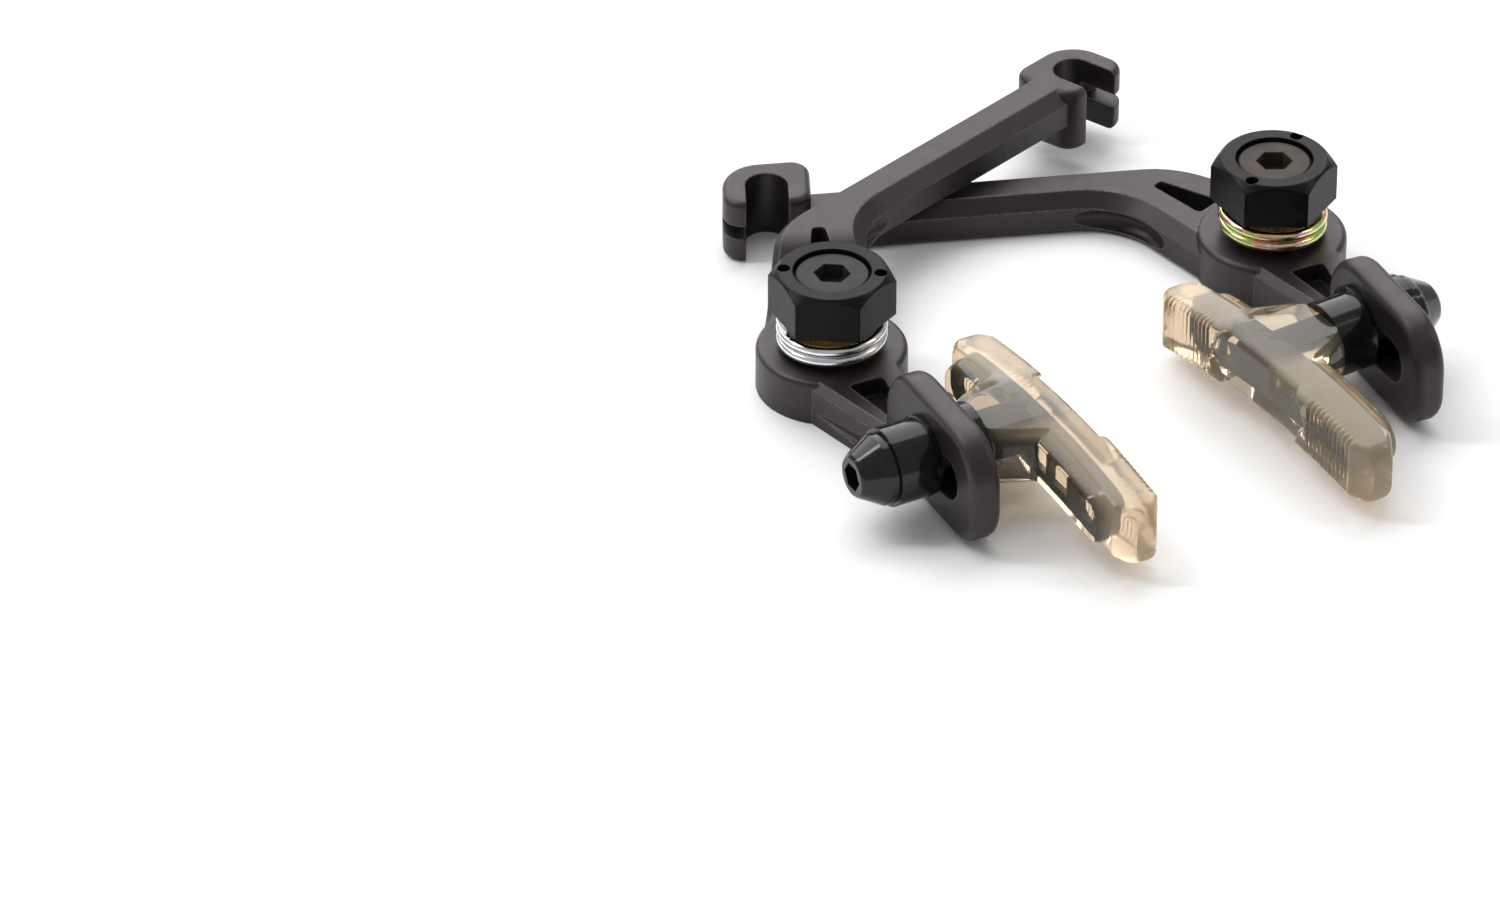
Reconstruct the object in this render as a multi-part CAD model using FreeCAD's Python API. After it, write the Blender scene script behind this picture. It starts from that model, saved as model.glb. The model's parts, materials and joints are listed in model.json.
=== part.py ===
"""Bicycle U-brake: two crossing forged arms on two parallel frame pivots.

Each side is drawn once in its own arm frame: the pivot axis is Z through the origin, the cable hook lies
towards +X and +Y, the pad towards -Y, and the wheel is on the +X side. The right side is the mirror image.
"""
import FreeCAD, Part
import math
import os

V = FreeCAD.Vector

# Whole brake, in millimetres and degrees
pivot_spacing = 76.6
left_rest_turn = 0.0
right_rest_turn = -5.0
running_clearance = 0.03
seat_gap = 0.05

# Pivot: boss, bushing, bolt, nut and spring
boss_radius = 11.8
boss_height = 7.4
boss_round = 1.0
bushing_radius = 5.5
stud_bore_radius = 4.55
bushing_top = 16.8
bolt_radius = 3.0
bolt_end = 0.0
bolt_end_chamfer = 0.3
bolt_head_radius = 5.85
bolt_head_height = 3.5
bolt_head_chamfer = 0.35
bolt_socket_across = 5.0
bolt_socket_depth = 2.6
nut_across_flats = 17.2
nut_bottom = 13.4
nut_height = 7.4
nut_chamfer = 1.5
nut_crown_margin = 0.3
nut_recess_clearance = 0.25
pin_hole_radius = 1.0
pin_hole_depth = 2.4
pin_hole_circle = 7.5
pin_hole_turn = 150.0
spring_wire_radius = 0.85
spring_coil_radius = 7.8
spring_turns = 2.25
spring_gap = 0.12
spring_strand_gap = 0.05
spring_start_turn = 100.0

# Arm: strut, crossing beam and cable hook
elbow_x = 8.6
elbow_y = 23.6
strut_width = 12.6
strut_root_inset = 0.6
elbow_outer_radius = 16.0
elbow_inner_radius = 13.0
beam_angle = 22.0
beam_length = 60.8
beam_width = 7.8
beam_height = 6.8
crossing_gap = 0.5
beam_inner_bevel = 2.2
beam_outer_bevel = 1.1
beam_underside_bevel = 0.7
ramp_start = 10.0
ramp_end = 20.0
ramp_radius = 6.0
pocket_start = 12.4
pocket_length = 10.5
pocket_width = 5.0
pocket_depth = 3.6
pocket_tip_width = 2.0
pocket_corner_radius = 0.8
elbow_groove_radius = 1.8
elbow_groove_depth = 1.0
elbow_groove_arc_radius = 8.0
hook_radius = 7.0
hook_height = 11.0
hook_slot_width = 6.8
hook_slot_turn = -84.0
hook_wall_reach = 5.2
hook_nose_radius = 6.3
hook_root_radius = 3.0
hook_lip_radius = 3.2
hook_edge_round = 1.2
wire_slit = 2.4

# Leg and pad plate
plate_thickness = 5.0
plate_root_y = -22.7
plate_end_y = -53.0
plate_bottom = 0.6
plate_top = 19.2
plate_top_radius = 8.5
plate_end_radius = 8.2
plate_root_radius = 2.0
plate_foot_radius = 6.6
plate_edge_round = 1.6
left_leg_turn = 1.0
right_leg_turn = 5.0
leg_root_width = 20.0
leg_end_width = 6.4
leg_bevel = 1.2
leg_overlap = 4.0
leg_pocket_start = 11.6
leg_pocket_length = 10.5
leg_pocket_width = 6.0
leg_pocket_tip_width = 2.4
leg_pocket_depth = 3.2
leg_groove_start = 8.5
leg_groove_length = 15.0
leg_groove_radius = 1.5
leg_groove_z = 2.4
left_post_y = -37.0
right_post_y = -33.5
post_z = 9.9
slot_height = 7.0
slot_inner_y = -30.0
slot_outer_y = -47.5

# Pad, its metal insert and the clamp hardware
post_radius = 3.0
post_clearance = 0.25
left_pad_swivel = 2.5
right_pad_swivel = -8.0
washer_radius = 6.2
washer_sphere_radius = 12.0
washer_rim_gap = 1.0
domed_washer_bore_radius = 4.7
thin_dished_height = 1.9
thick_dished_height = 6.4
pad_nut_flange_radius = 5.6
pad_nut_flange_height = 1.4
pad_nut_height = 5.4
pad_nut_tip_radius = 3.5
pad_nut_tip_chamfer = 0.4
pad_nut_socket_across = 4.0
pad_nut_socket_depth = 3.0
post_end_gap = 0.4
pad_boss_height = 5.8
pad_boss_root_radius = 10.0
pad_length = 56.0
pad_post_offset = 4.5
pad_height = 9.8
pad_thickness = 9.8
pad_curve_radius = 150.0
pad_end_chamfer = 3.6
pad_end_chamfer_depth = 2.2
pad_step = 0.9
pad_step_length = 17.0
insert_length = 46.0
insert_height = 7.0
insert_corner_radius = 3.1
insert_thickness = 2.6
insert_cover = 2.4
pad_platform = 2.0
pad_platform_margin = 1.0
pad_fuse_depth = 0.5
insert_window_length = 5.0
insert_window_height = 4.0
insert_front_window_y = -10.0
insert_back_window_y = 16.3
insert_hole_radius = 2.1
insert_hole_margin = 4.6


def polar(length, degrees):
    """Return a plan vector of a length and a direction."""
    angle = math.radians(degrees)
    return V(length * math.cos(angle), length * math.sin(angle), 0)


def rounded_wire(corners):
    """Close a polygon whose corners are (point, radius), with each radius as a tangent arc."""
    count = len(corners)
    starts = []
    ends = []
    middles = []
    for index, (point, radius) in enumerate(corners):
        before = (corners[index - 1][0] - point).normalize()
        after = (corners[(index + 1) % count][0] - point).normalize()
        half = before.getAngle(after) / 2
        setback = radius / math.tan(half)
        bisector = (before + after).normalize()
        centre = point + bisector * (radius / math.sin(half))
        starts.append(point + before * setback)
        ends.append(point + after * setback)
        middles.append(centre - bisector * radius)
    edges = []
    for index, (point, radius) in enumerate(corners):
        if radius > 0:
            edges.append(Part.Arc(starts[index], middles[index], ends[index]).toShape())
        following = starts[(index + 1) % count]
        if ends[index].distanceToPoint(following) > 1e-6:
            edges.append(Part.LineSegment(ends[index], following).toShape())
    return Part.Wire(edges)


def prism(wire, direction):
    """Extrude a closed plane wire."""
    return Part.Face(wire).extrude(direction)


def revolve_x(points):
    """Revolve a polygon of (along x, radius) about the X axis."""
    corners = [V(along, radius, 0) for along, radius in points]
    wire = Part.makePolygon(corners + corners[:1])
    return Part.Face(wire).revolve(V(0, 0, 0), V(1, 0, 0), 360)


def hexagon(across_flats, centre, normal):
    """Return a closed hexagon about a centre, in the plane across a normal."""
    corner = across_flats / math.sqrt(3)
    points = [polar(corner, 60 * side + 30) for side in range(6)]
    wire = Part.makePolygon(points + points[:1])
    wire.Placement = FreeCAD.Placement(centre, FreeCAD.Rotation(V(0, 0, 1), normal))
    return wire


def edges_where(shape, test):
    """Pick the edges whose both ends and middle pass a test."""
    picked = []
    for edge in shape.Edges:
        middle = edge.valueAt((edge.FirstParameter + edge.LastParameter) / 2)
        samples = [vertex.Point for vertex in edge.Vertexes] + [middle]
        if all(test(point) for point in samples):
            picked.append(edge)
    return picked


def rim_edges(shape, side):
    """Pick the edges where an upright face meets a face that looks up (side 1) or down (side -1)."""
    flat = []
    upright = set()
    for face in shape.Faces:
        low_u, high_u, low_v, high_v = face.ParameterRange
        tilt = face.normalAt((low_u + high_u) / 2, (low_v + high_v) / 2).z
        if abs(tilt) < 0.05:
            upright.update(edge.hashCode() for edge in face.Edges)
        elif tilt * side > 0:
            flat.extend(face.Edges)
    return [edge for edge in flat if edge.hashCode() in upright]


# Arm

def hook_centre():
    """Return the middle of the cable hook's seat in plan."""
    return V(elbow_x, elbow_y, 0) + polar(beam_length, beam_angle)


def strut_direction():
    """Return the plan direction from the pivot to the elbow."""
    return V(elbow_x, elbow_y, 0).normalize()


def ramp_line(beam_level, boss_level, drop):
    """Return the corners of a line that ramps from the boss's level to the beam's, lowered by a drop."""
    if beam_level == boss_level:
        return [(V(-boss_radius, 0, boss_level - drop), 0), (V(2 * beam_length, 0, beam_level - drop), 0)]
    return [
        (V(-boss_radius, 0, boss_level - drop), 0),
        (V(ramp_start, 0, boss_level - drop), ramp_radius),
        (V(ramp_end, 0, beam_level - drop), ramp_radius),
        (V(2 * beam_length, 0, beam_level - drop), 0),
    ]


def strut_level(beam_bottom):
    """Return the strut's top at the boss: a raised beam ramps up from the boss, a low one is level."""
    return boss_height if beam_bottom > 0 else beam_height


def strut_slab(low, high):
    """Make the slab between two ramp lines, drawn along the strut and extruded across it."""
    along = strut_direction()
    across = V(along.y, -along.x, 0)
    reach = 2 * beam_length
    envelope = rounded_wire(low + high[::-1])
    envelope.rotate(V(0, 0, 0), V(0, 0, 1), math.degrees(math.atan2(along.y, along.x)))
    envelope.translate(across * (-reach / 2))
    return prism(envelope, across * reach)


def elbow_corner(flank):
    """Return the sharp corner of the strut and beam on the wheel flank (1) or the other one (-1)."""
    along = strut_direction()
    across = V(along.y, -along.x, 0)
    turn = along.getAngle(polar(1, beam_angle))
    shift = (beam_width - strut_width * math.cos(turn)) / 2 / math.sin(turn)
    return V(elbow_x, elbow_y, 0) + (across * (strut_width / 2) - along * shift) * flank


def flank_edges(edges, flank):
    """Pick the edges along the strut and beam on the wheel flank (1) or the other one (-1)."""
    along = strut_direction()
    beam = polar(1, beam_angle)
    picked = []
    for edge in edges:
        middle = edge.valueAt((edge.FirstParameter + edge.LastParameter) / 2)
        beside_beam = middle - V(elbow_x, elbow_y, 0)
        reach = min(
            middle.dot(V(along.y, -along.x, 0)),
            beside_beam.dot(V(beam.y, -beam.x, 0)))
        if reach * flank > 1e-6:
            picked.append(edge)
    return picked


def elbow_groove(beam_bottom):
    """Make the ring that scoops a lens-shaped groove from the wheel flank of the elbow."""
    along = strut_direction()
    beam = polar(1, beam_angle)
    half = (math.pi - along.getAngle(beam)) / 2
    bisector = (beam - along).normalize()
    corner = elbow_corner(1)
    surface = corner + bisector * (elbow_inner_radius / math.sin(half) - elbow_inner_radius)
    reach = elbow_groove_depth - elbow_groove_radius - elbow_groove_arc_radius
    flat_top = beam_height - beam_inner_bevel
    level = beam_bottom + (beam_underside_bevel + flat_top) / 2
    middle = surface - bisector * reach + V(0, 0, level)
    return Part.makeTorus(elbow_groove_arc_radius, elbow_groove_radius, middle)


def strut_and_beam(beam_bottom):
    """Make the strut that rises from the boss and the straight bevelled beam to the hook."""
    along = strut_direction()
    across = V(along.y, -along.x, 0)
    beam = polar(1, beam_angle)
    beam_across = V(beam.y, -beam.x, 0)
    elbow = V(elbow_x, elbow_y, 0)
    end = hook_centre()
    inner = elbow_corner(1)
    outer = elbow_corner(-1)
    outline = rounded_wire([
        (across * (boss_radius - strut_root_inset), 0),
        (inner, elbow_inner_radius),
        (end + beam_across * (beam_width / 2), 0),
        (end - beam_across * (beam_width / 2), 0),
        (outer, elbow_outer_radius),
        (across * (strut_root_inset - boss_radius), 0),
    ])
    full = prism(outline, V(0, 0, beam_bottom + beam_height + boss_height))
    low = ramp_line(beam_bottom, 0, 0)
    high = ramp_line(beam_bottom + beam_height, strut_level(beam_bottom), 0)
    body = full.common(strut_slab(low, high))
    body = body.makeChamfer(beam_inner_bevel, flank_edges(rim_edges(body, 1), 1))
    body = body.makeChamfer(beam_outer_bevel, flank_edges(rim_edges(body, 1), -1))
    return body.makeChamfer(beam_underside_bevel, rim_edges(body, -1))


def cable_hook(beam_bottom):
    """Make the C-shaped block that holds the end of the straddle cable."""
    centre = hook_centre()
    opening = polar(1, beam_angle + hook_slot_turn)
    beam = polar(1, beam_angle)
    base = max(0, beam_bottom + beam_height - hook_height)
    lift = V(0, 0, hook_height)
    ground = V(0, 0, base)
    outline = rounded_wire([
        (centre + ground + opening * hook_wall_reach + beam * hook_radius, hook_lip_radius),
        (centre + ground - opening * hook_radius + beam * hook_radius, hook_nose_radius),
        (centre + ground - opening * hook_radius - beam * hook_radius, hook_root_radius),
        (centre + ground + opening * hook_wall_reach - beam * hook_radius, hook_lip_radius),
    ])
    block = prism(outline, lift)
    rim = edges_where(block, lambda point: abs(point.z - base - hook_height) < 1e-6)
    floor = edges_where(block, lambda point: abs(point.z - base) < 1e-6)
    block = block.makeFillet(hook_edge_round, rim + floor)
    seat = Part.makeCylinder(hook_slot_width / 2, hook_height, centre + ground)
    half = beam * (hook_slot_width / 2)
    far = opening * (2 * hook_radius)
    mouth = prism(Part.makePolygon([
        centre + ground + half,
        centre + ground + half + far,
        centre + ground - half + far,
        centre + ground - half,
        centre + ground + half,
    ]), lift)
    slit_height = V(0, 0, base + (hook_height - wire_slit) / 2)
    back = opening * (-wire_slit / 2)
    slit = prism(Part.makePolygon([
        centre + slit_height + back,
        centre + slit_height + back + beam * (2 * hook_radius),
        centre + slit_height + far + beam * (2 * hook_radius),
        centre + slit_height + far,
        centre + slit_height + back,
    ]), V(0, 0, wire_slit))
    return block, seat.fuse([mouth, slit])


def tapered_pocket(start, length, width, tip_width, direction, floor, top):
    """Make the cutter of a teardrop pocket that narrows away from the pivot."""
    across = V(direction.y, -direction.x, 0)
    ground = V(0, 0, floor)
    near = direction * start + ground
    far = direction * (start + length) + ground
    wire = rounded_wire([
        (near + across * (width / 2), pocket_corner_radius),
        (near - across * (width / 2), pocket_corner_radius),
        (far - across * (tip_width / 2), pocket_corner_radius),
        (far + across * (tip_width / 2), pocket_corner_radius),
    ])
    return prism(wire, V(0, 0, top - floor))


def leg():
    """Make the flat-sided leg between the boss and the pad plate."""
    end = plate_root_y - leg_overlap
    wire = Part.makePolygon([
        V(-leg_root_width / 2, 0, 0),
        V(leg_root_width / 2, 0, 0),
        V(leg_end_width / 2, end, 0),
        V(-leg_end_width / 2, end, 0),
        V(-leg_root_width / 2, 0, 0),
    ])
    block = prism(wire, V(0, 0, boss_height))
    return block.makeChamfer(leg_bevel, rim_edges(block, 1))


def leg_groove():
    """Make the long cone that cuts a tapered groove along the outer flank of the leg."""
    root = V(-leg_root_width / 2, 0, leg_groove_z)
    end = V(-leg_end_width / 2, plate_root_y - leg_overlap, leg_groove_z)
    flank = (end - root).normalize()
    return Part.makeCone(0, leg_groove_radius, leg_groove_length, root + flank * leg_groove_start, flank)


def pad_plate():
    """Make the upright rounded plate and the cutter of its slot."""
    x = -plate_thickness / 2
    outline = rounded_wire([
        (V(x, plate_root_y, plate_bottom), plate_root_radius),
        (V(x, plate_root_y, plate_top), plate_top_radius),
        (V(x, plate_end_y, plate_top), plate_end_radius),
        (V(x, plate_end_y, plate_bottom), plate_foot_radius),
    ])
    plate = prism(outline, V(plate_thickness, 0, 0))
    rims = edges_where(plate, lambda point: abs(abs(point.x) - plate_thickness / 2) < 1e-6)
    plate = plate.makeFillet(plate_edge_round, rims)
    half = slot_height / 2
    start = V(-plate_thickness, slot_inner_y - half, post_z)
    finish = V(-plate_thickness, slot_outer_y + half, post_z)
    depth = 2 * plate_thickness
    slot = Part.makeBox(depth, start.y - finish.y, slot_height, finish - V(0, 0, half))
    for centre in (start, finish):
        slot = slot.fuse(Part.makeCylinder(half, depth, centre, V(1, 0, 0)))
    return plate, slot


def in_leg_frame(shape, leg_turn):
    """Turn a piece that belongs to the leg by the leg's angle in the arm."""
    turned = shape.copy()
    turned.rotate(V(0, 0, 0), V(0, 0, 1), leg_turn)
    return turned


def arm(beam_bottom, leg_turn):
    """Make one forged arm as a single solid."""
    boss = Part.makeCylinder(boss_radius, boss_height)
    boss = boss.makeFillet(boss_round, rim_edges(boss, 1))
    hook, hook_cut = cable_hook(beam_bottom)
    plate, slot = pad_plate()
    lower = [in_leg_frame(leg(), leg_turn), in_leg_frame(plate, leg_turn)]
    body = boss.fuse([strut_and_beam(beam_bottom), hook] + lower)
    beam_top = beam_bottom + beam_height
    sky = beam_top + boss_height
    pocket_floor = ramp_line(beam_top, strut_level(beam_bottom), pocket_depth)
    above = strut_slab(pocket_floor, ramp_line(sky, sky, 0))
    pocket = tapered_pocket(
        pocket_start, pocket_length, pocket_width, pocket_tip_width, strut_direction(), 0, sky).common(above)
    leg_floor = boss_height - leg_pocket_depth
    leg_pocket = tapered_pocket(
        leg_pocket_start, leg_pocket_length, leg_pocket_width, leg_pocket_tip_width,
        V(0, -1, 0), leg_floor, sky)
    bore = Part.makeCylinder(bushing_radius + running_clearance, 4 * boss_height, V(0, 0, -boss_height))
    lower_cuts = [in_leg_frame(cut, leg_turn) for cut in (slot, leg_pocket, leg_groove())]
    return body.cut([hook_cut, pocket, bore, elbow_groove(beam_bottom)] + lower_cuts).removeSplitter()


# Pivot hardware

def pivot_bushing():
    """Make the brass sleeve that stands on the frame and carries the arm."""
    sleeve = Part.makeCylinder(bushing_radius, bushing_top)
    return sleeve.cut(Part.makeCylinder(stud_bore_radius, bushing_top))


def pivot_bolt():
    """Make the flat-headed bolt with its hex socket."""
    head = Part.makeCylinder(bolt_head_radius, bolt_head_height, V(0, 0, bushing_top))
    top = bushing_top + bolt_head_height
    head = head.makeChamfer(bolt_head_chamfer, edges_where(head, lambda point: abs(point.z - top) < 1e-6))
    shank = Part.makeCylinder(bolt_radius, bushing_top - bolt_end, V(0, 0, bolt_end))
    tip = edges_where(shank, lambda point: abs(point.z - bolt_end) < 1e-6)
    shank = shank.makeChamfer(bolt_end_chamfer, tip)
    floor = V(0, 0, top - bolt_socket_depth)
    socket = prism(hexagon(bolt_socket_across, floor, V(0, 0, 1)), V(0, 0, bolt_socket_depth))
    return head.fuse(shank).cut(socket).removeSplitter()


def tension_nut():
    """Make the large chamfered hex nut that winds the spring."""
    block = prism(hexagon(nut_across_flats, V(0, 0, nut_bottom), V(0, 0, 1)), V(0, 0, nut_height))
    top = nut_bottom + nut_height
    corner = nut_across_flats / math.sqrt(3)
    cone_height = corner - nut_across_flats / 2 + nut_chamfer
    waist = corner + nut_chamfer
    crown_radius = nut_across_flats / 2 - nut_crown_margin
    crown = Part.makeCone(waist, crown_radius, cone_height, V(0, 0, top - cone_height))
    lower = Part.makeCylinder(waist, nut_height - cone_height, V(0, 0, nut_bottom))
    block = block.common(crown.fuse(lower))
    bore = Part.makeCylinder(bushing_radius + running_clearance, nut_height, V(0, 0, nut_bottom))
    recess = Part.makeCylinder(bolt_head_radius + nut_recess_clearance, nut_height, V(0, 0, bushing_top))
    holes = []
    for side in (0, 180):
        place = polar(pin_hole_circle, pin_hole_turn + side) + V(0, 0, top - pin_hole_depth)
        holes.append(Part.makeCylinder(pin_hole_radius, nut_height, place))
    return block.cut([bore, recess] + holes)


def return_spring():
    """Make the torsion coil between the boss and the nut."""
    pitch = 2 * spring_wire_radius + spring_strand_gap
    helix = Part.makeHelix(pitch, pitch * spring_turns, spring_coil_radius)
    helix.translate(V(0, 0, boss_height + spring_wire_radius + spring_gap))
    start = helix.Edges[0].valueAt(helix.Edges[0].FirstParameter)
    section = Part.Wire(Part.makeCircle(spring_wire_radius, start, V(0, 1, 0)))
    coil = Part.Wire(helix.Edges).makePipeShell([section], True, True)
    coil.rotate(V(0, 0, 0), V(0, 0, 1), spring_start_turn)
    return coil


# Pad and clamp hardware, drawn along X from the plate with the post axis as the X axis

def washer_sag():
    """Return the depth of the washers' spherical faces at their rim."""
    return washer_sphere_radius - math.sqrt(washer_sphere_radius ** 2 - washer_radius ** 2)


def domed_washer_height():
    """Return the height that keeps the dished washer's rim clear of the plate."""
    return washer_sag() + washer_rim_gap


def dished_washer(seat, height, side):
    """Make a flat-backed washer with a spherical hollow, standing on a seat and facing a side."""
    bore = post_radius + post_clearance
    body = revolve_x([
        (seat, bore),
        (seat, washer_radius),
        (seat + side * height, washer_radius),
        (seat + side * height, bore),
    ])
    centre = seat + side * (height - washer_sag() + washer_sphere_radius)
    hollow = Part.makeSphere(washer_sphere_radius, V(centre, 0, 0))
    return body.cut(hollow)


def domed_washer(seat, side):
    """Make the washer whose spherical crown sits in a dished washer, with its flat face on a seat."""
    top = seat + side * domed_washer_height()
    body = revolve_x([
        (seat, domed_washer_bore_radius),
        (seat, washer_radius),
        (top, washer_radius),
        (top, domed_washer_bore_radius),
    ])
    middle = V(top - side * washer_sphere_radius, 0, 0)
    return body.common(Part.makeSphere(washer_sphere_radius - seat_gap, middle))


def pad_nut(seat, side):
    """Make the conical clamp nut with a hex socket, its flange on a seat."""
    tip = seat + side * pad_nut_height
    body = revolve_x([
        (seat, 0),
        (seat, pad_nut_flange_radius),
        (seat + side * pad_nut_flange_height, pad_nut_flange_radius),
        (tip - side * pad_nut_tip_chamfer, pad_nut_tip_radius),
        (tip, pad_nut_tip_radius - pad_nut_tip_chamfer),
        (tip, 0),
    ])
    start = V(tip - side * pad_nut_socket_depth, 0, 0)
    socket = prism(hexagon(pad_nut_socket_across, start, V(1, 0, 0)), V(side * pad_nut_socket_depth, 0, 0))
    depth = pad_nut_height - pad_nut_socket_depth
    thread = Part.makeCylinder(post_radius, depth, V(seat, 0, 0), V(side, 0, 0))
    return body.cut([socket, thread])


def bow_drop(y):
    """Return how far the pad's bow has dropped at a distance from the pad's middle."""
    return y ** 2 / (2 * pad_curve_radius)


def bow_arc(x, y_start, y_end, level):
    """Return the bowed line of the pad at one level, between two distances from its middle."""
    points = [V(x, y - pad_post_offset, level - bow_drop(y)) for y in (y_start, 0, y_end)]
    return Part.Arc(*points).toShape()


def curved_band(length, height, x_start, x_end):
    """Make a block along Y, bowed up in the middle to follow the rim, between two X planes."""
    half = length / 2
    upper = bow_arc(x_start, -half, half, height / 2)
    lower = bow_arc(x_start, half, -half, -height / 2)
    front = Part.makeLine(upper.Vertexes[1].Point, lower.Vertexes[0].Point)
    back = Part.makeLine(lower.Vertexes[1].Point, upper.Vertexes[0].Point)
    return prism(Part.Wire([upper, front, lower, back]), V(x_end - x_start, 0, 0))


def pad_planes(seat):
    """Return the X of the pad's platform, block back and braking face from the face its boss sits on."""
    platform = seat + pad_boss_height
    return platform, platform + pad_platform, platform + pad_thickness


def pad_insert(seat, nut_seat):
    """Make the metal core of the pad with its threaded post."""
    platform, _, _ = pad_planes(seat)
    start = platform + insert_cover
    core = curved_band(insert_length, insert_height, start, start + insert_thickness)
    ends = edges_where(core, lambda point: abs(abs(point.y + pad_post_offset) - insert_length / 2) < 1e-6)
    corners = [edge for edge in ends if abs(edge.tangentAt(edge.FirstParameter).x) > 0.9]
    core = core.makeFillet(insert_corner_radius, corners)
    cuts = []
    hole_reach = insert_length / 2 - insert_hole_margin
    for y in (-hole_reach, hole_reach):
        middle = V(start - insert_thickness, y - pad_post_offset, -bow_drop(y))
        cuts.append(Part.makeCylinder(insert_hole_radius, 3 * insert_thickness, middle, V(1, 0, 0)))
    for y in (insert_front_window_y, insert_back_window_y):
        low = -bow_drop(y) - insert_window_height / 2
        corner = V(start - insert_thickness, y - pad_post_offset - insert_window_length / 2, low)
        cuts.append(Part.makeBox(3 * insert_thickness, insert_window_length, insert_window_height, corner))
    post_end = nut_seat - pad_nut_height + pad_nut_socket_depth + post_end_gap
    post = Part.makeCylinder(post_radius, start + pad_fuse_depth - post_end, V(post_end, 0, 0), V(1, 0, 0))
    return core.cut(cuts).fuse(post).removeSplitter()


def pad_shoe(seat, insert):
    """Make the moulded rubber pad around its insert."""
    platform, back, face = pad_planes(seat)
    block = curved_band(pad_length, pad_height, back, face)
    centre = -pad_post_offset
    half = pad_length / 2
    waist = half - pad_step_length
    tall = 2 * pad_height
    plan = Part.makePolygon([
        V(back, centre - half + pad_end_chamfer, -tall),
        V(back + pad_end_chamfer_depth, centre - half, -tall),
        V(face - pad_end_chamfer_depth, centre - half, -tall),
        V(face, centre - half + pad_end_chamfer, -tall),
        V(face, centre - waist - pad_step, -tall),
        V(face - pad_step, centre - waist, -tall),
        V(face - pad_step, centre + waist, -tall),
        V(face, centre + waist + pad_step, -tall),
        V(face, centre + half - pad_end_chamfer, -tall),
        V(face - pad_end_chamfer_depth, centre + half, -tall),
        V(back + pad_end_chamfer_depth, centre + half, -tall),
        V(back, centre + half - pad_end_chamfer, -tall),
        V(back, centre - half + pad_end_chamfer, -tall),
    ])
    block = block.common(prism(plan, V(0, 0, 2 * tall)))
    margin = 2 * pad_platform_margin
    island = curved_band(insert_length + margin, insert_height + margin, platform, back + pad_fuse_depth)
    cone = revolve_x([
        (seat, 0),
        (seat, washer_radius),
        (back + pad_fuse_depth, pad_boss_root_radius),
        (back + pad_fuse_depth, 0),
    ])
    boss = cone.common(curved_band(pad_length, pad_height, seat, back + pad_fuse_depth))
    return block.fuse([island, boss]).cut(insert).removeSplitter()


def clamp_stack(dished_height, side, swivel):
    """Return the washers of one side of the plate and the face where the stack ends.

    The domed washer lies flat on the plate, with the middle of its sphere on the swivelled post axis.
    """
    seat = side * (plate_thickness / 2 + seat_gap)
    domed = domed_washer(seat, side)
    sphere_middle = seat + side * (domed_washer_height() - washer_sphere_radius)
    domed.translate(V(0, sphere_middle * math.sin(math.radians(swivel)), 0))
    end = seat + side * (washer_rim_gap + dished_height)
    return domed, dished_washer(end, dished_height, -side), end


def clamp_parts(post_y, swivel, outer_dished, inner_dished):
    """Return the pad and its clamp hardware of one side in the leg frame, by name."""
    outer_domed, outer_dish, nut_seat = clamp_stack(outer_dished, -1, swivel)
    inner_domed, inner_dish, pad_seat = clamp_stack(inner_dished, 1, swivel)
    insert = pad_insert(pad_seat, nut_seat)
    swivelled = {
        "outer_dished_washer": outer_dish,
        "inner_dished_washer": inner_dish,
        "pad_nut": pad_nut(nut_seat, -1),
        "pad_insert": insert,
        "pad_shoe": pad_shoe(pad_seat, insert),
    }
    for piece in swivelled.values():
        piece.rotate(V(0, 0, 0), V(0, 0, 1), swivel)
    pieces = {"outer_domed_washer": outer_domed, "inner_domed_washer": inner_domed}
    pieces.update(swivelled)
    for piece in pieces.values():
        piece.translate(V(0, post_y, post_z))
    return pieces


def side_parts(beam_bottom, leg_turn, post_y, swivel, outer_dished, inner_dished):
    """Return every piece of one side in the arm frame, by name."""
    pieces = {
        "arm": arm(beam_bottom, leg_turn),
        "pivot_bushing": pivot_bushing(),
        "pivot_bolt": pivot_bolt(),
        "tension_nut": tension_nut(),
        "return_spring": return_spring(),
    }
    for name, piece in clamp_parts(post_y, swivel, outer_dished, inner_dished).items():
        pieces[name] = in_leg_frame(piece, leg_turn)
    return pieces


def place(piece, mirrored):
    """Move a piece from its arm frame to the brake's frame at rest."""
    turn = right_rest_turn if mirrored else left_rest_turn
    placed = piece.copy()
    placed.rotate(V(0, 0, 0), V(0, 0, 1), turn)
    if mirrored:
        placed = placed.mirror(V(0, 0, 0), V(1, 0, 0))
    placed.translate(V(pivot_spacing / 2 if mirrored else -pivot_spacing / 2, 0, 0))
    return placed


def main():
    """Write every piece of the brake to its own file."""
    os.makedirs("parts", exist_ok=True)
    low_beam = 0
    high_beam = beam_height + crossing_gap
    sides = {
        "left": side_parts(
            high_beam, left_leg_turn, left_post_y, left_pad_swivel,
            thick_dished_height, thin_dished_height),
        "right": side_parts(
            low_beam, right_leg_turn, right_post_y, right_pad_swivel,
            thin_dished_height, thick_dished_height),
    }
    for side, pieces in sides.items():
        for name, piece in pieces.items():
            solid = place(piece, side == "right")
            solid.exportStep(os.path.join("parts", f"{side}_{name}.step"))


main()
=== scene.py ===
import json
import math

import bmesh
import bpy
from mathutils import Matrix, Vector


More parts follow.
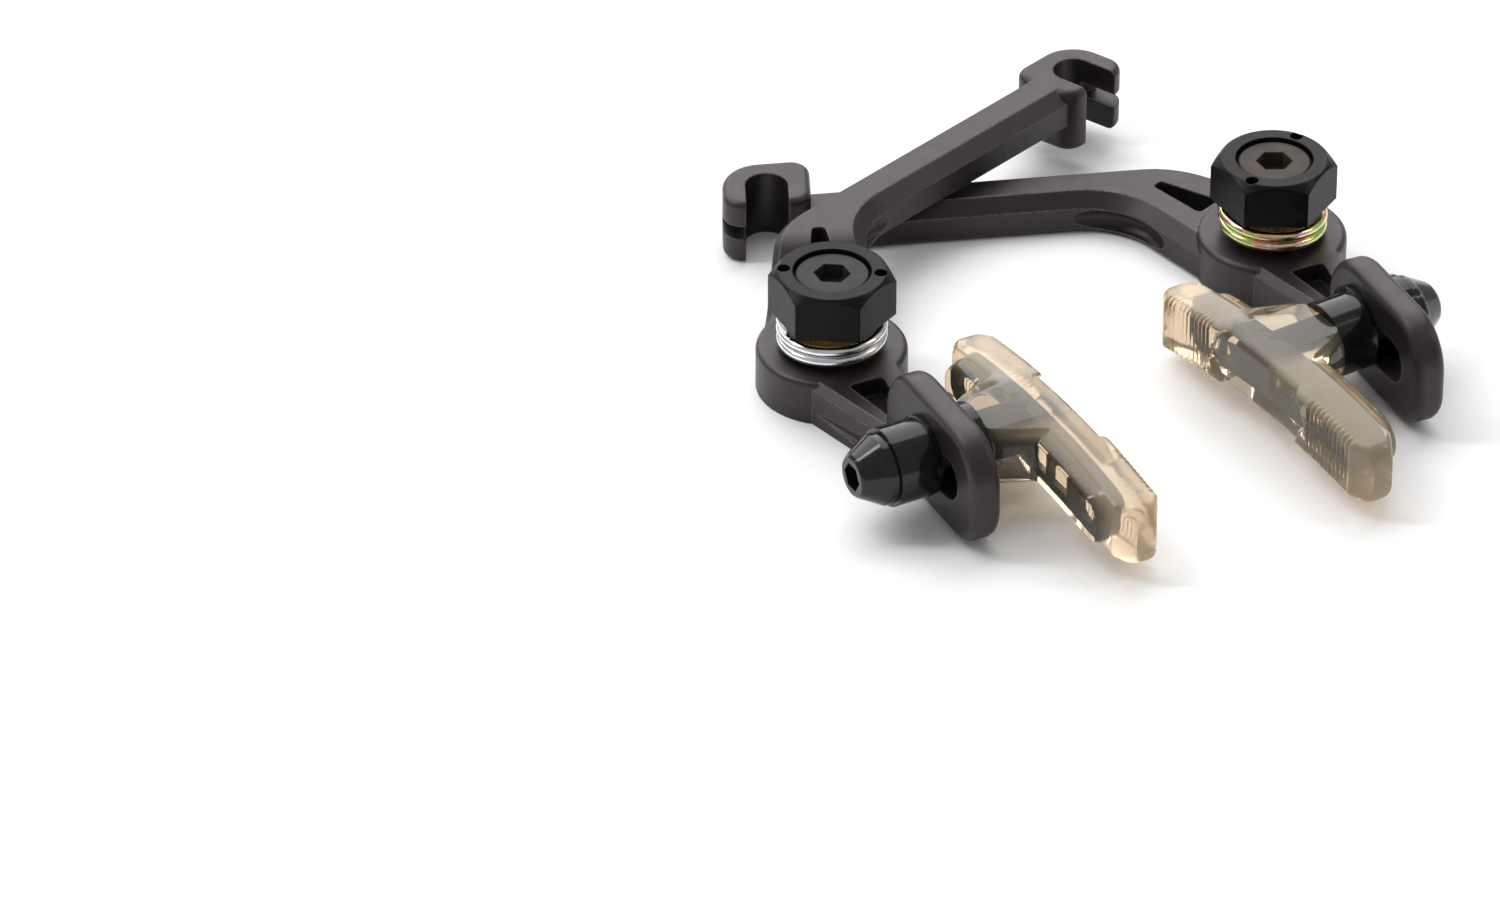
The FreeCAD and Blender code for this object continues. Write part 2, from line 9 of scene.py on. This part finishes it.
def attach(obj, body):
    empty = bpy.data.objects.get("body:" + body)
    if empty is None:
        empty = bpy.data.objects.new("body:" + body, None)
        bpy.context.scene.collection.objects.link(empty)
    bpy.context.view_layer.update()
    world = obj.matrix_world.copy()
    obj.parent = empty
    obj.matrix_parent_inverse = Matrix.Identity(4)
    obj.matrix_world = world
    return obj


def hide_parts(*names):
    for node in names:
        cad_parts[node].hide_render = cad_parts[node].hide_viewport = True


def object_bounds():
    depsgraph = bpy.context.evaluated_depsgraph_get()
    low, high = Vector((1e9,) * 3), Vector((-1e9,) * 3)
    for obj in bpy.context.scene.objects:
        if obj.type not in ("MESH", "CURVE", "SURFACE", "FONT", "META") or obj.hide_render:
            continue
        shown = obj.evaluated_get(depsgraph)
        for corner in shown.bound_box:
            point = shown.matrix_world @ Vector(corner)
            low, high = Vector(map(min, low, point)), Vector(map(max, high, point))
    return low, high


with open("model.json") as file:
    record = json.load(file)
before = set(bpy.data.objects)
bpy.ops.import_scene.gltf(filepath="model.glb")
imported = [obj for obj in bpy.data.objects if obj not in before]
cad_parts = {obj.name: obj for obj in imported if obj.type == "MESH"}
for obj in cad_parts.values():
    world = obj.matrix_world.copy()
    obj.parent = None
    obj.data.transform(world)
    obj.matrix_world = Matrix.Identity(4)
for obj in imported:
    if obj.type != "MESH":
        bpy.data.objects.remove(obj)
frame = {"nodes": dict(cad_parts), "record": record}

CAD_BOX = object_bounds()
NODES = frame["nodes"]
JOINTS = {joint["name"]: joint for joint in frame["record"]["behaviour"]["joints"]}
SIDES = ("left", "right")
MM = 0.001

# Photograph's frame and view
FRAME_WIDTH = 1500
FRAME_HEIGHT = 920
ORIGIN_PIXEL = (1053, 326)
PIXELS_PER_METRE = 6400
VIEW_AZIMUTH = math.radians(-25)
VIEW_ELEVATION = math.radians(34)
CAMERA_DISTANCE = 1.5
CAMERA_FAR = 20.0
SENSOR_WIDTH = 36.0

# Moulded pad, in millimetres
PAD_BOSS = 5.8
PAD_SEAT_GAP = 0.02
PAD_PLATFORM = 2.0
PAD_HEIGHT = 9.8
PAD_BOW_RADIUS = 150.0
PAD_EDGE_ROUND = 1.3
PAD_END_ROUND = 2.2
PAD_END_CHAMFER = 3.6
PAD_END_CHAMFER_DEPTH = 2.2
PAD_RECESS = 0.9
PAD_RECESS_HALF = 10.0
PAD_RECESS_POINT = 3.0
PAD_STEP = 0.125
PAD_LEVELS = 26
PAD_SHARP_ANGLE = math.radians(50)
PAD_ISLAND_LENGTH = 48.0
PAD_ISLAND_HEIGHT = 8.8
PAD_ISLAND_CORNER = 4.0
PAD_ISLAND_SLOPE = 0.9
PAD_BOSS_RADIUS = 6.2
PAD_BOSS_FLARE = 4.4
RIB_PITCH = 1.0
RIB_DEPTH = 0.4
BACK_RIBS = 12
FRONT_RIBS = 11
RIB_END_MARGIN = 3.8
CORE_COVER = 2.4
CORE_THICKNESS = 2.6
CORE_WINDOW_HEIGHT = 4.0
CORE_WINDOWS = ((-3.3, 6.0), (10.8, 3.6))
CORE_SHARP_ANGLE = math.radians(30)
WELD_DISTANCE = 1e-7
FACE_CLEARNESS = 0.75
CLEAR_ATTRIBUTE = "clearness"

# Colours along a noise, as stops of (position, colour)
ARM_PAINT = [(0.3, (0.0100, 0.0075, 0.0089)), (0.7, (0.0126, 0.0096, 0.0113))]
# Painted highlight: the lighter speckle colour that the arm's paint turns to along its edges
ARM_SPECKLED_EDGE_HIGHLIGHT = [(0.35, (0.030, 0.026, 0.029)), (0.66, (0.16, 0.146, 0.155))]
ARM_SHEEN = (1.0, 0.88, 0.96, 1.0)
CLAMP_PLATING = [(0.3, (0.004, 0.004, 0.0045)), (0.75, (0.010, 0.0095, 0.010))]
BARE_METAL = [(0.3, (0.45, 0.45, 0.46)), (0.7, (0.70, 0.70, 0.71))]
NUT_FILM = [(0.3, (0.004, 0.004, 0.004)), (0.7, (0.009, 0.0085, 0.0085))]
BLACK_BOLT_FILM = [(0.3, (0.020, 0.019, 0.018)), (0.7, (0.036, 0.034, 0.031))]
BROWN_BOLT_FILM = [(0.3, (0.032, 0.024, 0.018)), (0.7, (0.062, 0.045, 0.033))]
BRASS = [(0.3, (0.72, 0.47, 0.17)), (0.7, (0.88, 0.63, 0.28))]
SILVER_ZINC = [(0.3, (0.72, 0.73, 0.75)), (0.7, (0.86, 0.87, 0.88))]
YELLOW_ZINC = [
    (0.32, (0.50, 0.68, 0.26)),
    (0.45, (0.84, 0.72, 0.32)),
    (0.56, (0.84, 0.48, 0.46)),
    (0.68, (0.80, 0.79, 0.72)),
]
CORE_STEEL = [(0.3, (0.014, 0.020, 0.033)), (0.7, (0.048, 0.062, 0.092))]
AMBER = [(0.3, (0.94, 0.73, 0.50)), (0.7, (0.97, 0.80, 0.59))]
FLOOR_WHITE = (0.95, 0.95, 0.95, 1)

# Usual range of a noise, and the colour sockets of a mix node
NOISE_LOW = 0.35
NOISE_HIGH = 0.65
MIX_FIRST = 6
MIX_SECOND = 7
MIX_RESULT = 2

# Floor and light, in metres, watts and strengths
FLOOR_REACH = 4.0
MIDDLE = (0, 0, 0)
WORLD_STRENGTH = 0.42
SUN_STRENGTH = 2.7
SUN_SPREAD = math.radians(75)
SUN_PLACE = (0.12, 0.72, 0.80)
KEY_PLACE = (-0.42, 0.22, 0.55)
KEY_SIZE = (0.10, 0.45)
KEY_POWER = 1.5
FILL_PLACE = (0.62, -0.28, 0.55)
FILL_SIZE = (0.08, 0.35)
FILL_POWER = 0.6


# Surfaces

class Surface:
    """One procedural material, with the nodes that feed its shader."""

    def __init__(self, name, **constants):
        self.material = bpy.data.materials.new(name)
        self.material.use_nodes = True
        self.tree = self.material.node_tree
        self.shader = self.tree.nodes["Principled BSDF"]
        for socket, value in constants.items():
            self.shader.inputs[socket.replace("_", " ")].default_value = value
        self.place = self.node("ShaderNodeTexCoord").outputs["Object"]

    def node(self, kind, links=(), **values):
        """Add a node, set its input values and link its inputs."""
        made = self.tree.nodes.new(kind)
        for socket, value in values.items():
            made.inputs[socket.replace("_", " ")].default_value = value
        for socket, source in links:
            self.tree.links.new(source, made.inputs[socket])
        return made

    def feed(self, socket, source):
        """Link a source to one of the shader's sockets."""
        self.tree.links.new(source, self.shader.inputs[socket])

    def noise(self, grain, detail, stretch=None):
        """Return a noise whose grain is about this many millimetres."""
        place = self.place
        if stretch:
            mapping = self.node("ShaderNodeMapping", [("Vector", place)], Scale=stretch)
            place = mapping.outputs["Vector"]
        scale = 1 / (grain * MM)
        made = self.node("ShaderNodeTexNoise", [("Vector", place)], Scale=scale, Detail=detail)
        return made.outputs["Fac"]

    def ramp(self, source, stops):
        """Return the colours of a ramp with stops of (position, colour)."""
        made = self.node("ShaderNodeValToRGB", [("Fac", source)])
        elements = made.color_ramp.elements
        while len(elements) < len(stops):
            elements.new(0.5)
        for element, (position, colour) in zip(elements, stops):
            element.position = position
            element.color = (*colour, 1)
        return made.outputs["Color"]

    def spread(self, source, low, high):
        """Return a noise mapped from its usual middle range to low and high."""
        made = self.node("ShaderNodeMapRange", [("Value", source)], From_Min=NOISE_LOW, From_Max=NOISE_HIGH,
                         To_Min=low, To_Max=high)
        return made.outputs["Result"]

    def relief(self, source, height, strength, edge_round=0):
        """Give the shader a fine relief of a height in millimetres, over softened edges."""
        made = self.node("ShaderNodeBump", [("Height", source)], Strength=strength, Distance=height * MM)
        if edge_round:
            bevel = self.node("ShaderNodeBevel", Radius=edge_round * MM)
            self.tree.links.new(bevel.outputs["Normal"], made.inputs["Normal"])
        self.feed("Normal", made.outputs["Normal"])

    def edge_mask(self, edge_round, full):
        """Return a mask that is bright along the edges that a bevel would round, and full at a cosine."""
        bevel = self.node("ShaderNodeBevel", Radius=edge_round * MM)
        flat = self.node("ShaderNodeNewGeometry").outputs["Normal"]
        dot = self.node("ShaderNodeVectorMath")
        dot.operation = "DOT_PRODUCT"
        self.tree.links.new(bevel.outputs["Normal"], dot.inputs[0])
        self.tree.links.new(flat, dot.inputs[1])
        cosine = dot.outputs["Value"]
        made = self.node("ShaderNodeMapRange", [("Value", cosine)], From_Min=1.0, From_Max=full)
        return made.outputs["Result"]

    def mix(self, mask, first, second):
        """Return the first colour, and the second where the mask is bright."""
        made = self.tree.nodes.new("ShaderNodeMix")
        made.data_type = "RGBA"
        self.tree.links.new(mask, made.inputs["Factor"])
        self.tree.links.new(first, made.inputs[MIX_FIRST])
        self.tree.links.new(second, made.inputs[MIX_SECOND])
        return made.outputs[MIX_RESULT]


def forged_black():
    """Satin black paint over a sandblasted forging, with a speckled painted highlight along its edges."""
    surface = Surface("forged_black", Specular_IOR_Level=0.5, Specular_Tint=ARM_SHEEN)
    paint = surface.ramp(surface.noise(14.0, detail=4), ARM_PAINT)
    grain = surface.noise(0.35, detail=2)
    speckled_highlight = surface.ramp(grain, ARM_SPECKLED_EDGE_HIGHLIGHT)
    edges = surface.edge_mask(0.45, full=0.94)
    # Painted highlight: the edge mask swaps the paint for the lighter speckle along every edge
    surface.feed("Base Color", surface.mix(edges, paint, speckled_highlight))
    surface.feed("Roughness", surface.spread(surface.noise(2.5, detail=5), low=0.38, high=0.43))
    surface.relief(grain, height=0.03, strength=0.6, edge_round=0.5)
    return surface.material


def glossy_black(name, worn=False):
    """Polished black plating with faint handling marks, and bare metal along worn edges."""
    surface = Surface(name, Specular_IOR_Level=0.28, Coat_Weight=0.2, Coat_Roughness=0.04)
    marks = surface.noise(1.6, detail=6)
    plating = surface.ramp(marks, CLAMP_PLATING)
    if worn:
        edges = surface.edge_mask(0.7, full=0.9)
        plating = surface.mix(edges, plating, surface.ramp(marks, BARE_METAL))
        surface.feed("Metallic", edges)
    surface.feed("Base Color", plating)
    surface.feed("Roughness", surface.spread(marks, low=0.10, high=0.18))
    surface.relief(surface.noise(0.5, detail=3), height=0.004, strength=0.3, edge_round=0.35)
    return surface.material


def anodised_black(name, stops):
    """Machined metal under a dark anodised or oxide film."""
    surface = Surface(name, Specular_IOR_Level=0.11)
    surface.feed("Base Color", surface.ramp(surface.noise(3.0, detail=5), stops))
    surface.feed("Roughness", surface.spread(surface.noise(0.9, detail=4), low=0.26, high=0.34))
    lines = surface.noise(0.25, detail=2, stretch=(1, 1, 8))
    surface.relief(lines, height=0.003, strength=0.12, edge_round=0.3)
    return surface.material


def turned_brass():
    """Brass sleeve with fine turning rings."""
    surface = Surface("turned_brass", Metallic=0.5)
    surface.feed("Base Color", surface.ramp(surface.noise(2.5, detail=4), BRASS))
    surface.feed("Roughness", surface.spread(surface.noise(0.6, detail=3), low=0.25, high=0.4))
    rings = surface.noise(0.2, detail=2, stretch=(0.05, 0.05, 1))
    surface.relief(rings, height=0.01, strength=0.5)
    return surface.material


def zinc_wire(name, stops):
    """Drawn spring wire under bright zinc plating."""
    surface = Surface(name, Metallic=1.0)
    surface.feed("Base Color", surface.ramp(surface.noise(3.0, detail=3), stops))
    surface.feed("Roughness", surface.spread(surface.noise(0.8, detail=4), low=0.14, high=0.26))
    surface.relief(surface.noise(0.3, detail=3), height=0.008, strength=0.35)
    return surface.material


def core_steel():
    """Dull stamped steel of the pad's core and post."""
    surface = Surface("core_steel", Metallic=0.4)
    surface.feed("Base Color", surface.ramp(surface.noise(4.0, detail=5), CORE_STEEL))
    surface.feed("Roughness", surface.spread(surface.noise(1.0, detail=4), low=0.38, high=0.55))
    surface.relief(surface.noise(0.6, detail=3), height=0.015, strength=0.5, edge_round=0.3)
    return surface.material


def clear_rubber():
    """Hazy amber rubber that is clearer where it covers the core."""
    surface = Surface("clear_rubber", IOR=1.4, Subsurface_Weight=0.8, Subsurface_Scale=0.003,
                      Subsurface_Radius=(1.0, 0.75, 0.45))
    attribute = surface.node("ShaderNodeAttribute")
    attribute.attribute_name = CLEAR_ATTRIBUTE
    clear = attribute.outputs["Fac"]
    haze = surface.spread(surface.noise(3.0, detail=4), low=0.10, high=0.18)
    surface.feed("Base Color", surface.ramp(surface.noise(9.0, detail=3), AMBER))
    passed = surface.node("ShaderNodeMapRange", [("Value", clear)], To_Min=0.77, To_Max=0.96)
    surface.feed("Transmission Weight", passed.outputs["Result"])
    smooth = surface.node("ShaderNodeMapRange", [("Value", clear), ("To Min", haze)], To_Max=0.06)
    surface.feed("Roughness", smooth.outputs["Result"])
    surface.relief(surface.noise(4.0, detail=2), height=0.03, strength=0.3)
    return surface.material


def dress_nodes():
    """Give every metal piece of the frame its surface."""
    arm = forged_black()
    clamp = glossy_black("glossy_black")
    worn_clamp = glossy_black("worn_black", worn=True)
    nut = anodised_black("nut_black", NUT_FILM)
    brass = turned_brass()
    core = core_steel()
    bolts = {
        "left": anodised_black("bolt_black", BLACK_BOLT_FILM),
        "right": anodised_black("bolt_brown", BROWN_BOLT_FILM),
    }
    springs = {
        "left": zinc_wire("silver_zinc", SILVER_ZINC),
        "right": zinc_wire("yellow_zinc", YELLOW_ZINC),
    }
    for side in SIDES:
        surfaces = {"arm": arm, "pivot_bushing": brass, "pivot_bolt": bolts[side], "tension_nut": nut,
                    "return_spring": springs[side], "pad_insert": core,
                    "pad_nut": worn_clamp if side == "right" else clamp}
        for place in ("outer", "inner"):
            surfaces[f"{place}_domed_washer"] = clamp
            surfaces[f"{place}_dished_washer"] = clamp
        for piece, material in surfaces.items():
            mesh = NODES[f"{side}_{piece}"].data
            mesh.materials.clear()
            mesh.materials.append(material)


# Pads

def pad_place(side):
    """Return the placement of a pad's own axes: x to the wheel along the post, y along the pad, z up."""
    joint = JOINTS[f"{side}_pad_turn"]
    out = Vector(joint["axis"]).normalized()
    up = Vector((0, 0, 1))
    along = up.cross(out)
    if along.y < 0:
        along = -along
    turn = Matrix((out, along, up)).transposed().to_4x4()
    return Matrix.Translation(joint["pos_m"]) @ turn


def pad_reach(side, place):
    """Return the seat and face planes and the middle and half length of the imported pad, in millimetres."""
    inverse = place.inverted()
    points = [inverse @ vertex.co / MM for vertex in NODES[f"{side}_pad_shoe"].data.vertices]
    xs = [point.x for point in points]
    ys = [point.y for point in points]
    return min(xs), max(xs), (min(ys) + max(ys)) / 2, (max(ys) - min(ys)) / 2


def ease(value):
    """Return a smooth step from 0 to 1."""
    value = min(max(value, 0), 1)
    return value * value * (3 - 2 * value)


def quarter_round(distance, radius):
    """Return how far a rounded edge lies under its corner at a distance from it."""
    short = max(radius - distance, 0)
    return radius - math.sqrt(radius ** 2 - short ** 2)


def end_chamfer(distance):
    """Return the depth of the slanted end at a distance from it."""
    return PAD_END_CHAMFER_DEPTH * max(1 - distance / PAD_END_CHAMFER, 0)


def rib(y, half):
    """Return the depth of the fine upright grooves near the ends of the braking face."""
    count = BACK_RIBS if y > 0 else FRONT_RIBS
    inside = half - RIB_END_MARGIN - abs(y)
    if inside < 0 or inside > count * RIB_PITCH:
        return 0
    return RIB_DEPTH * (0.5 - 0.5 * math.cos(2 * math.pi * inside / RIB_PITCH))


def island(y, z):
    """Return 1 on the raised platform over the core and 0 outside it."""
    across = max(abs(z) - PAD_ISLAND_HEIGHT / 2 + PAD_ISLAND_CORNER, 0)
    beyond = max(abs(y) - PAD_ISLAND_LENGTH / 2 + PAD_ISLAND_CORNER, 0)
    return ease((PAD_ISLAND_CORNER - math.hypot(across, beyond)) / PAD_ISLAND_SLOPE)


def pad_section(y, reach):
    """Return the closed outline of the pad at a distance from its middle, and how clear each point is."""
    seat, face, middle, half = reach
    platform = seat + PAD_BOSS
    end = half - abs(y)
    drop = y ** 2 / (2 * PAD_BOW_RADIUS)
    tall = PAD_HEIGHT / 2 - quarter_round(end, PAD_END_ROUND)
    levels = [tall * math.sin(math.pi * (index / PAD_LEVELS - 0.5)) for index in range(PAD_LEVELS + 1)]
    front = face - end_chamfer(end) - rib(y, half)
    backs = []
    faces = []
    clearness = []
    for z in levels:
        edge = quarter_round(tall - abs(z), PAD_EDGE_ROUND)
        radius = math.hypot(y + middle, z)
        boss = ease((PAD_BOSS_RADIUS + PAD_BOSS_FLARE - radius) / PAD_BOSS_FLARE)
        raised = island(y, z)
        clearness.append(max(raised, boss))
        back = platform + PAD_PLATFORM * (1 - raised) + end_chamfer(end) + edge * (1 - boss)
        backs.append((back * (1 - boss) + (seat + PAD_SEAT_GAP) * boss, z))
        recess_end = PAD_RECESS_HALF + PAD_RECESS_POINT * (1 - abs(z) / tall)
        faces.append((front - edge - PAD_RECESS * ease(recess_end - abs(y)), z))
    outline = backs + faces[::-1]
    clearness += [FACE_CLEARNESS * raised for raised in clearness[::-1]]
    return [Vector((x, y + middle, z - drop)) * MM for x, z in outline], clearness


def make_pad(side, rubber):
    """Model one clear pad as a skin over bowed sections, in place of the plain solid."""
    place = pad_place(side)
    reach = pad_reach(side, place)
    half = reach[3]
    count = round(2 * half / PAD_STEP)
    stations = [half * (2 * index / count - 1) for index in range(count + 1)]
    points = []
    clearness = []
    for y in stations:
        outline, clear = pad_section(y, reach)
        points += [place @ point for point in outline]
        clearness += clear
    size = len(points) // len(stations)
    faces = [list(range(size)), list(range(len(points) - size, len(points)))[::-1]]
    for row in range(count):
        for index in range(size):
            following = (index + 1) % size
            faces.append([row * size + index, (row + 1) * size + index,
                          (row + 1) * size + following, row * size + following])
    if place.determinant() > 0:
        faces = [face[::-1] for face in faces]
    mesh = bpy.data.meshes.new(f"{side}_clear_pad")
    mesh.from_pydata(points, [], faces)
    mesh.attributes.new(CLEAR_ATTRIBUTE, "FLOAT", "POINT").data.foreach_set("value", clearness)
    mesh.shade_smooth()
    mesh.set_sharp_from_angle(angle=PAD_SHARP_ANGLE)
    mesh.materials.append(rubber)
    pad = bpy.data.objects.new(f"{side}_clear_pad", mesh)
    bpy.context.collection.objects.link(pad)
    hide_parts(f"{side}_pad_shoe")
    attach(pad, f"{side}_pad")


def shape_object(name, shape):
    """Turn a bmesh into an object of the scene."""
    mesh = bpy.data.meshes.new(name)
    shape.to_mesh(mesh)
    shape.free()
    made = bpy.data.objects.new(name, mesh)
    bpy.context.collection.objects.link(made)
    return made


def window_cutter(side, place, reach, y, length):
    """Make the block that opens one window in the pad's core."""
    seat, _, middle, _ = reach
    deep = seat + PAD_BOSS + CORE_COVER + CORE_THICKNESS / 2
    centre = Vector((deep, y + middle, -y ** 2 / (2 * PAD_BOW_RADIUS))) * MM
    size = Vector((2 * CORE_THICKNESS, length, CORE_WINDOW_HEIGHT)) * MM
    shape = bmesh.new()
    placed = place @ Matrix.Translation(centre) @ Matrix.Diagonal((*size, 1))
    bmesh.ops.create_cube(shape, size=1, matrix=placed)
    bmesh.ops.recalc_face_normals(shape, faces=shape.faces)
    return shape_object(f"{side}_window", shape)


def make_core(side):
    """Open two more windows beside the post in a copy of the pad's core, in place of the plain one."""
    place = pad_place(side)
    reach = pad_reach(side, place)
    plain = NODES[f"{side}_pad_insert"].data
    shape = bmesh.new()
    shape.from_mesh(plain)
    bmesh.ops.remove_doubles(shape, verts=shape.verts, dist=WELD_DISTANCE)
    core = shape_object(f"{side}_pad_core", shape)
    cutters = [window_cutter(side, place, reach, y, length) for y, length in CORE_WINDOWS]
    for cutter in cutters:
        cut = core.modifiers.new("window", "BOOLEAN")
        cut.operation = "DIFFERENCE"
        cut.solver = "EXACT"
        cut.object = cutter
    graph = bpy.context.evaluated_depsgraph_get()
    opened = bpy.data.meshes.new_from_object(core.evaluated_get(graph))
    core.modifiers.clear()
    core.data = opened
    for cutter in cutters:
        bpy.data.objects.remove(cutter)
    opened.materials.clear()
    opened.materials.append(plain.materials[0])
    opened.shade_smooth()
    opened.set_sharp_from_angle(angle=CORE_SHARP_ANGLE)
    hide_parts(f"{side}_pad_insert")
    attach(core, f"{side}_pad")


# Camera, floor and light

def view_axes():
    """Return the camera's right, up and back directions."""
    a, e = VIEW_AZIMUTH, VIEW_ELEVATION
    back = Vector((math.sin(a) * math.cos(e), -math.cos(a) * math.cos(e), math.sin(e)))
    right = Vector((math.cos(a), math.sin(a), 0))
    return right, back.cross(right), back


def make_camera():
    """Stand the camera where the photograph was taken from."""
    right, up, back = view_axes()
    across = (FRAME_WIDTH / 2 - ORIGIN_PIXEL[0]) / PIXELS_PER_METRE
    down = (FRAME_HEIGHT / 2 - ORIGIN_PIXEL[1]) / PIXELS_PER_METRE
    target = right * across - up * down
    data = bpy.data.cameras.new("camera")
    data.sensor_width = SENSOR_WIDTH
    data.lens = SENSOR_WIDTH * CAMERA_DISTANCE * PIXELS_PER_METRE / FRAME_WIDTH
    data.clip_end = CAMERA_FAR
    camera = bpy.data.objects.new("camera", data)
    turn = Matrix((right, up, back)).transposed().to_4x4()
    camera.matrix_world = Matrix.Translation(target + back * CAMERA_DISTANCE) @ turn
    bpy.context.collection.objects.link(camera)
    bpy.context.scene.camera = camera


def make_stage():
    """Lay a plain white floor that keeps the soft shadows."""
    mesh = bpy.data.meshes.new("floor")
    reach = FLOOR_REACH
    low = CAD_BOX[0][2]
    corners = [(-reach, -reach, low), (reach, -reach, low), (reach, reach, low), (-reach, reach, low)]
    mesh.from_pydata(corners, [], [(0, 1, 2, 3)])
    floor = bpy.data.objects.new("floor", mesh)
    bpy.context.collection.objects.link(floor)
    surface = Surface("floor_white", Base_Color=FLOOR_WHITE, Roughness=0.9, Specular_IOR_Level=0.1)
    floor.data.materials.append(surface.material)


def aim(lamp, place):
    """Stand a lamp at a place, turned to the middle of the scene."""
    lamp.location = place
    lamp.rotation_euler = (Vector(MIDDLE) - Vector(place)).to_track_quat("-Z", "Y").to_euler()
    bpy.context.collection.objects.link(lamp)


def area_light(name, place, size, power):
    """Add one soft rectangular lamp that points at the middle of the scene."""
    data = bpy.data.lights.new(name, "AREA")
    data.shape = "RECTANGLE"
    data.size, data.size_y = size
    data.energy = power
    aim(bpy.data.objects.new(name, data), place)


def make_light():
    """Light the brake softly from above and behind, as on a white table."""
    world = bpy.data.worlds.new("studio")
    bpy.context.scene.world = world
    world.use_nodes = True
    background = world.node_tree.nodes["Background"]
    background.inputs["Color"].default_value = (1, 1, 1, 1)
    background.inputs["Strength"].default_value = WORLD_STRENGTH
    sun = bpy.data.lights.new("sky", "SUN")
    sun.energy = SUN_STRENGTH
    sun.angle = SUN_SPREAD
    aim(bpy.data.objects.new("sky", sun), SUN_PLACE)
    area_light("key", KEY_PLACE, KEY_SIZE, KEY_POWER)
    area_light("fill", FILL_PLACE, FILL_SIZE, FILL_POWER)
    bpy.context.scene.view_settings.view_transform = "Standard"


dress_nodes()
pad_rubber = clear_rubber()
for side_name in SIDES:
    make_pad(side_name, pad_rubber)
    make_core(side_name)
make_camera()
make_stage()
make_light()
